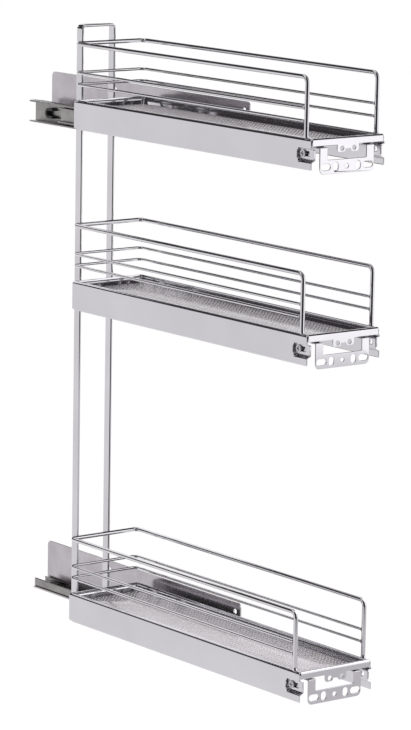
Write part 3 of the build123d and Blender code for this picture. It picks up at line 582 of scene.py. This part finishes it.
# Tray mats
# A thin vinyl mat with silver pigment lies in each pan, and rows of small round studs are
# pressed up on it so that bottles don't slide. The pigment makes it half a mirror.
haze_size, leather_size, leather_height = 40, 0.8, 0.02
silver_vinyl = bpy.data.materials.new("studded_vinyl")
tree = empty_tree(silver_vinyl)
place = add(tree, "ShaderNodeTexCoord").outputs["Object"]
haze = add(tree, "ShaderNodeTexNoise", {
    "Vector": place, "Scale": 1000 / haze_size, "Detail": 4.0,
})
tone = add(tree, "ShaderNodeValToRGB", {"Fac": haze.outputs["Fac"]})
dark_stop, pale_stop = tone.color_ramp.elements
dark_stop.position, dark_stop.color = 0.35, linear("#d3ced2")
pale_stop.position, pale_stop.color = 0.65, linear("#dbd6da")
leather = add(tree, "ShaderNodeTexNoise", {
    "Vector": place, "Scale": 1000 / leather_size, "Detail": 2.0,
})
leather_bump = add(tree, "ShaderNodeBump", {
    "Height": leather.outputs["Fac"], "Strength": 0.6, "Distance": leather_height * 0.001,
})
surface = add(tree, "ShaderNodeBsdfPrincipled", {
    "Base Color": tone.outputs["Color"], "Roughness": 0.2, "IOR": 1.54, "Metallic": 0.55,
    "Normal": leather_bump.outputs["Normal"],
})
add(tree, "ShaderNodeOutputMaterial", {"Surface": surface.outputs["BSDF"]})

# Finer studs don't show at the size of the photograph, so they are as coarse as that takes
stud_pitch = 5.6
stud_radius = 1.5
stud_height = 0.25
stud_rings, stud_sides = 4, 8
mat_edge = 0.3
mat_corner_points = 6


def mat_surfaces(level):
    """A slab with a rounded edge, and domes on it in straight rows both ways.

    A dome is half an ellipsoid: rings of its radius times the cosine of a rising angle, at its
    height times the sine.
    """
    low, high = box_mm(f"{level}_tray_mat")
    width, length = high[0] - low[0], high[1] - low[1]
    section = [(width / 2, low[2]), (0, low[2]), (0, high[2] - mat_edge), (mat_edge, high[2]),
               (width / 2, high[2])]
    slab = []
    for inset, height in section:
        outline, _ = rounded_outline(
            width - 2 * inset, length - 2 * inset, max(pan_corner - inset, 0), mat_corner_points,
        )
        slab.append(np.column_stack([
            outline + (low[:2] + high[:2]) / 2, np.full(len(outline), height),
        ]))
    slab = np.array(slab)
    across = np.arange(low[0] + stud_pitch, high[0] - stud_pitch / 2, stud_pitch)
    along = np.arange(low[1] + stud_pitch, high[1] - stud_pitch, stud_pitch)
    where = np.stack(np.meshgrid(across, along), -1).reshape(-1, 2)
    tilt = np.linspace(0, np.pi / 2, stud_rings)[:, None]
    turn = np.linspace(0, 2 * np.pi, stud_sides, endpoint=False)[None, :]
    dome = np.stack([
        stud_radius * np.cos(tilt) * np.cos(turn), stud_radius * np.cos(tilt) * np.sin(turn),
        stud_height * np.sin(tilt) + 0 * turn,
    ], -1)
    studs = dome[None] + np.column_stack([where, np.full(len(where), high[2])])[:, None, None]
    dome_faces = grid_quads(stud_rings, stud_sides, True).reshape(-1, 4)
    starts = np.arange(len(where)) * stud_rings * stud_sides
    stud_faces = dome_faces[None] + starts[:, None, None]
    return [(slab, grid_quads(len(slab), slab.shape[1], True)), (studs, stud_faces)]


for level in levels:
    make_piece(
        f"{level}_studded_mat", mat_surfaces(level), silver_vinyl, "carriage",
        f"{level}_tray_mat", sharp=70,
    )

# Guard wires
# A rail of 5.2 mm round wire stands on each rim on two posts, with two thinner wires below
# it. They are cut, bent, spot welded and then chromium plated together, as bright as mirrors.
chrome_wire = plated_steel(
    "chromed_round_wire", "#d2d0d4", "#cac8cc", cloud=60, gloss=(0.02, 0.04), grain=0.8,
    stretch=2, wave=(30, 0.02),
)
guard_radius = 2.6
wire_radius = 1.75
wire_bend = 7.0
bend_stations = 12
weld_spread = 1.4
weld_swell = 0.7
weld_stations = np.array([0, 0.4, 0.9, 1.6, 2.5, 4.0])[:, None]


def wire_route(corners, bend):
    """Points and directions along straight runs joined by quarter circles.

    A circle's centre lies the bend's radius back from the corner and as far on along the next
    run, and the direction turns with the angle: the old one's cosine and the new one's sine.
    """
    corners = np.array(corners, float)
    ways = np.diff(corners, axis=0)
    ways = ways / np.linalg.norm(ways, axis=1, keepdims=True)
    angle = np.linspace(0, np.pi / 2, bend_stations)[None, :, None]
    before, after = ways[:-1, None], ways[1:, None]
    centre = corners[1:-1, None] - bend * before + bend * after
    bends = centre - bend * after * np.cos(angle) + bend * before * np.sin(angle)
    bend_ways = after * np.sin(angle) + before * np.cos(angle)
    first = corners[0] + ways[0] * weld_stations
    last = corners[-1] - ways[-1] * weld_stations[::-1]
    points = np.concatenate([first, bends.reshape(-1, 3), last])
    directions = np.concatenate([
        np.repeat(ways[:1], len(first), 0), bend_ways.reshape(-1, 3),
        np.repeat(ways[-1:], len(last), 0),
    ])
    return points, directions


def wire_tube(corners, radius, bend, around):
    """A circle carried along the route, swelling at both ends into its weld, and closed there.

    The swelling is a bell curve of the distance to the nearer end. around is the number of
    points in the circle, and a ring of hardly any size closes each end.
    """
    points, directions = wire_route(corners, bend)
    steps = np.linalg.norm(np.diff(points, axis=0), axis=1)
    travelled = np.concatenate([[0], np.cumsum(steps)])
    to_end = np.minimum(travelled, travelled[-1] - travelled)
    size = radius + weld_swell * np.exp(-(to_end / weld_spread) ** 2)
    lean = np.cross(directions, np.ones(3) / np.sqrt(3))
    lean /= np.linalg.norm(lean, axis=1, keepdims=True)
    square = np.cross(directions, lean)
    points, lean, square = (
        np.concatenate([rows[:1], rows, rows[-1:]]) for rows in (points, lean, square)
    )
    size = np.concatenate([[touch], size, [touch]])
    angle = np.linspace(0, 2 * np.pi, around, endpoint=False)[None, :, None]
    circle = np.cos(angle) * lean[:, None] + np.sin(angle) * square[:, None]
    tube = points[:, None] + size[:, None, None] * circle
    # The welds are dressed flush with the outside of the wires
    tube[..., 0] = np.clip(tube[..., 0], cad_box[0][0] * 1000, cad_box[1][0] * 1000)
    return tube, grid_quads(len(tube), around, True)


for level in levels:
    low, high = box_mm(f"{level}_guard_rail")
    rim = low[2]
    left, right = low[0] + guard_radius, high[0] - guard_radius
    front, rear, top = low[1] + guard_radius, high[1] - guard_radius, high[2] - guard_radius
    make_piece(
        f"{level}_guard_wire",
        [wire_tube(
            [(left, front, rim), (left, front, top), (left, rear, top),
             (right, rear, top), (right, front, top), (right, front, rim)],
            guard_radius, wire_bend, around=24,
        )],
        chrome_wire, "carriage", f"{level}_guard_rail",
    )
    for band in ("low", "mid"):
        low, high = box_mm(f"{level}_{band}_wire")
        height = (low[2] + high[2]) / 2
        rear = high[1] - wire_radius
        make_piece(
            f"{level}_{band}_side_wire",
            [wire_tube(
                [(left, low[1], height), (left, rear, height),
                 (right, rear, height), (right, low[1], height)],
                wire_radius, wire_bend, around=20,
            )],
            chrome_wire, "carriage", f"{level}_{band}_wire",
        )

# Tray fronts
# A strip with a two-lobed tab closes each front, and a bracket with slotted holes carries
# the cabinet's door. Both are blanked from 1.5 mm steel and chromium plated like the trays.
# Two clamp tongues and a channel on the upright frame are made of the same sheet.
strip_edge = 0.3
strip_reach = 0.1
strip_round = 2.6
strip_depth = 2.7


def front_strip(level):
    """The strip, with its ends drawn in and its top edge turned over the tray's rim."""
    low, high = box_mm(f"{level}_tray_shell")
    front, rim = low[1] + strip_reach, high[2] - strip_reach

    def turned_over(places):
        """Ends at the tray's rounded corners, and the upper edge's rear points moved back."""
        places[:, 0] = np.clip(places[:, 0], low[0] + front_corner, high[0] - front_corner)
        upper_rear = (places[:, 2] > rim) & (places[:, 1] > front)
        places[upper_rear, 1] = low[1] + strip_depth
        return places

    def on_top_edge(x, y, z):
        """True for the points of the strip's upper edge at the front."""
        return y < front and z > rim

    soften(
        f"{level}_front_strip", f"{level}_front_rail", chrome_sheet, "carriage",
        strip_edge, turned_over, (strip_round, on_top_edge),
    )


# The dark line down the door plates' edges is wide in the photograph, so these are rounder
for level in levels:
    front_strip(level)
    for piece_name, node, edge in (
        ("door_plate", "door_bracket", 0.65), ("slotted_tongues", "clamp_tongues", 0.3),
        ("frame_channel", "tray_hanger", 0.25),
    ):
        soften(
            f"{level}_{piece_name}", f"{level}_{node}", chrome_sheet, "carriage",
            edge,
        )

# Studio
# A white floor well below the unit and a white room. Black cloths hang behind the unit,
# overhead on the side of the cabinet's wall, and round the camera, and give the chrome its
# dark edges and bands.
floor_drop = 500.0
floor_reach = 2000.0
floor_sides = 96
floor_turn = np.linspace(0, 2 * np.pi, floor_sides, endpoint=False)
floor_points = np.column_stack([
    floor_reach * np.cos(floor_turn), floor_reach * np.sin(floor_turn),
    np.full(floor_sides, cad_box[0][2] * 1000 - floor_drop),
]) * 0.001
floor_mesh = bpy.data.meshes.new("studio_floor")
floor_mesh.from_pydata(floor_points.tolist(), [], [list(range(floor_sides))])
studio_floor = bpy.data.objects.new("studio_floor", floor_mesh)
bpy.context.scene.collection.objects.link(studio_floor)

# The paint is white to the camera and in mirrors, and keeps a trace of the unit's shadow
shadow_share = 0.04
paint = bpy.data.materials.new("matt_white_paint")
tree = empty_tree(paint)
matt = add(tree, "ShaderNodeBsdfPrincipled", {
    "Base Color": linear("#f4f4f4"), "Roughness": 0.9, "Specular IOR Level": 0.0,
})
glow = add(tree, "ShaderNodeEmission", {
    "Color": linear("#ffffff"), "Strength": 1 + shadow_share,
})
ray = add(tree, "ShaderNodeLightPath")
seen = ray.outputs["Is Camera Ray"]
for kind in ("Is Glossy Ray", "Is Transmission Ray"):
    seen = add(tree, "ShaderNodeMath", {
        0: seen, 1: ray.outputs[kind],
    }, operation="MAXIMUM").outputs["Value"]
share = add(tree, "ShaderNodeMath", {0: seen, 1: 1 - shadow_share}, operation="MULTIPLY")
mixed = add(tree, "ShaderNodeMixShader", {
    "Fac": share.outputs["Value"], 1: matt.outputs["BSDF"], 2: glow.outputs["Emission"],
})
add(tree, "ShaderNodeOutputMaterial", {"Surface": mixed.outputs["Shader"]})
floor_mesh.materials.append(paint)

world = bpy.data.worlds.new("white_room")
bpy.context.scene.world = world
room_tree = empty_tree(world)
way = add(room_tree, "ShaderNodeTexCoord").outputs["Generated"]
parts = add(room_tree, "ShaderNodeSeparateXYZ", {"Vector": way}).outputs
height = parts["Z"]
level_way = add(room_tree, "ShaderNodeVectorMath", {
    0: way, 1: (1.0, 1.0, 0.0),
}, operation="MULTIPLY")
level_way = add(room_tree, "ShaderNodeVectorMath", {
    0: level_way.outputs["Vector"],
}, operation="NORMALIZE")


def nearness(direction, lean=0.0):
    """Cosine of the angle to a level direction, taken down by the lean times the height."""
    near = add(room_tree, "ShaderNodeVectorMath", {
        0: level_way.outputs["Vector"], 1: direction,
    }, operation="DOT_PRODUCT")
    return add(room_tree, "ShaderNodeMath", {
        0: height, 1: -lean, 2: near.outputs["Value"],
    }, operation="MULTIPLY_ADD").outputs["Value"]


def region(limits):
    """1 inside all limits and 0 outside any: the product of a smooth step for each.

    A limit is a value, where its step starts and where it is full.
    """
    mask = 1.0
    for value, start, full in limits:
        step = add(room_tree, "ShaderNodeMapRange", {
            "Value": value, "From Min": start, "From Max": full,
        }, interpolation_type="SMOOTHSTEP")
        mask = add(room_tree, "ShaderNodeMath", {
            0: step.outputs["Result"], 1: mask,
        }, operation="MULTIPLY").outputs["Value"]
    return mask


# Height here is the sine of the angle above the level. The cloth behind the unit has an edge
# that leans inwards, the one round the camera hangs down to the floor, and the floor in
# front is a little dimmer.
wall_cloth = region([
    (nearness((-0.326, 0.946, 0.0), lean=0.5), 0.465, 0.525), (height, 0.03, 0.09),
    (height, 0.74, 0.68),
])
roof_cloth = region([(height, 0.50, 0.60), (parts["X"], 0.30, 0.42)])
camera_cloth = region([(nearness((-0.609, -0.793, 0.0)), 0.58, 0.72), (height, -0.215, -0.175)])
front_floor = region([(nearness((0.0, -1.0, 0.0)), 0.0, 0.2), (height, -0.17, -0.22)])
cloths = wall_cloth
for cloth in (roof_cloth, camera_cloth):
    cloths = add(room_tree, "ShaderNodeMath", {
        0: cloths, 1: cloth,
    }, operation="MAXIMUM").outputs["Value"]

# A mix node has its two colours at these sockets, after those for numbers and vectors
outside, inside, result = 6, 7, 2
room = linear("#ffffff")
for mask, colour in ((front_floor, "#e3e1e3"), (cloths, "#403e3f")):
    room = add(room_tree, "ShaderNodeMix", {
        "Factor": mask, outside: room, inside: linear(colour),
    }, data_type="RGBA").outputs[result]

# Only mirrors show the cloths: other light comes from plain white, and the camera sees white
mirrored = add(room_tree, "ShaderNodeBackground", {"Color": room, "Strength": 1.0})
lit = add(room_tree, "ShaderNodeBackground", {"Color": linear("#ffffff"), "Strength": 0.92})
backdrop = add(room_tree, "ShaderNodeBackground", {"Color": linear("#ffffff"), "Strength": 1.0})
ray = add(room_tree, "ShaderNodeLightPath")
in_mirror = add(room_tree, "ShaderNodeMath", {
    0: ray.outputs["Is Glossy Ray"], 1: ray.outputs["Is Transmission Ray"],
}, operation="MAXIMUM")
round_unit = add(room_tree, "ShaderNodeMixShader", {
    "Fac": in_mirror.outputs["Value"], 1: lit.outputs["Background"],
    2: mirrored.outputs["Background"],
})
shown = add(room_tree, "ShaderNodeMixShader", {
    "Fac": ray.outputs["Is Camera Ray"], 1: round_unit.outputs["Shader"],
    2: backdrop.outputs["Background"],
})
add(room_tree, "ShaderNodeOutputWorld", {"Surface": shown.outputs["Shader"]})


def softbox(name, place, facing, width, height, glow, spread=180):
    """A rectangular lamp that adds the given glow to what a mirror shows of it.

    spread is the full angle in degrees of the cone it lights. A mirror shows a lamp's energy
    over four times its area.
    """
    lamp = bpy.data.lights.new(name, "AREA")
    lamp.shape = "RECTANGLE"
    lamp.size, lamp.size_y = width, height
    lamp.energy = glow * 4 * width * height
    lamp.spread = np.radians(spread)
    light = bpy.data.objects.new(name, lamp)
    bpy.context.scene.collection.objects.link(light)
    light.location = place
    light.rotation_euler = facing
    light.visible_camera = False


# A tall softbox stands in front to the right, where the two upper fronts mirror it. A small
# one hangs over the lowest front, which has a white upper edge, and one stands high behind
# the unit, where the rim and the wires of the lowest tray mirror it over the dark cloth.
# Places and sizes are in metres.
tall_way = np.array([0.609, -0.793])
tall_distance, tall_bottom, tall_height = 1.7, 0.06, 1.2
fronts = (-0.065, -0.395)
softbox(
    "tall_softbox",
    place=(*(tall_way * tall_distance + fronts).tolist(), tall_bottom + tall_height / 2),
    facing=(np.pi / 2, 0, np.arctan2(tall_way[0], -tall_way[1])), width=1.0, height=tall_height,
    glow=0.47,
)
softbox(
    "low_softbox", place=(0.175, -0.45, 0.31), facing=(0, np.radians(38), 0), width=0.3,
    height=0.35, glow=0.6, spread=100,
)
softbox(
    "back_softbox", place=(0.0, 1.2, 1.05), facing=(np.pi / 2, 0, np.pi), width=1.2, height=0.5,
    glow=0.9,
)

# Camera
# It stands to the near front of the unit and a little above it, with a long lens, as the
# photograph was taken. Its aim and distance are in metres, and its focal length is in
# pixels of the photograph.
camera_turn, camera_rise, camera_roll = np.radians([-37.4715, 10.3053, 0.96])
aim = np.array([-0.028492, -0.096741, 0.296361])
distance = 4.3068
focal_pixels = 3649.02
image_height = 730
back = np.array([
    np.sin(camera_turn) * np.cos(camera_rise), -np.cos(camera_turn) * np.cos(camera_rise),
    np.sin(camera_rise),
])
right = np.array([np.cos(camera_turn), np.sin(camera_turn), 0.0])
up = np.cross(back, right)
tilted_right = right * np.cos(camera_roll) + up * np.sin(camera_roll)
tilted_up = up * np.cos(camera_roll) - right * np.sin(camera_roll)
lens = bpy.data.cameras.new("camera")
lens.sensor_width = 36.0
lens.lens = focal_pixels * lens.sensor_width / image_height
lens.clip_end = 100.0
camera = bpy.data.objects.new("camera", lens)
bpy.context.scene.collection.objects.link(camera)
stand = np.eye(4)
stand[:3, :3] = np.column_stack([tilted_right, tilted_up, back])
stand[:3, 3] = aim + distance * back
camera.matrix_world = stand.T.tolist()
bpy.context.scene.camera = camera
bpy.context.scene.view_settings.view_transform = "Standard"
